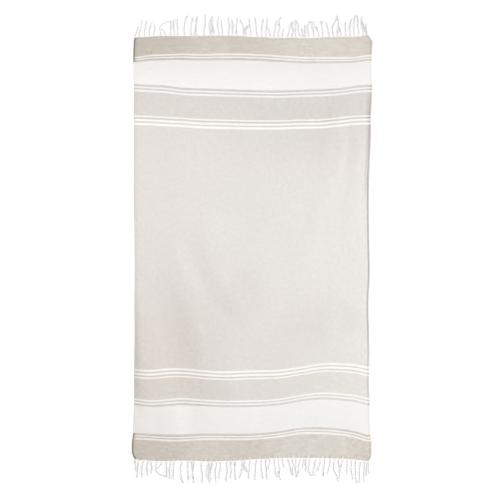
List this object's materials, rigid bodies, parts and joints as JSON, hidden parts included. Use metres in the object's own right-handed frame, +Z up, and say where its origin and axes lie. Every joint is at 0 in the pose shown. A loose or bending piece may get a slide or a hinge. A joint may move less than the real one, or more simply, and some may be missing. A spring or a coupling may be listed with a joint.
{
  "type": "beach towel",
  "caption": "Flat-woven striped beach towel lying face up, with shallow soft folds and a loose twisted fringe along both ends. It rests on any flat surface.",
  "frame": {"origin": "on the surface that the towel lies on, under the middle of its outline, fringes included", "axes": "+X across the cloth, +Y along it from one fringe to the other, +Z up from the surface to the face that shows"},
  "size_m": [1.014, 1.9647, 0.0071],
  "materials": {
    "cloth": "flat-woven cotton, matt, cream and taupe stripes",
    "fringe": "loosely twisted cotton yarn, matt, cream"
  },
  "bodies": {
    "root": {"towel_cloth": "cloth", "fringe_top": "fringe", "fringe_bottom": "fringe"}
  },
  "joints": []
}
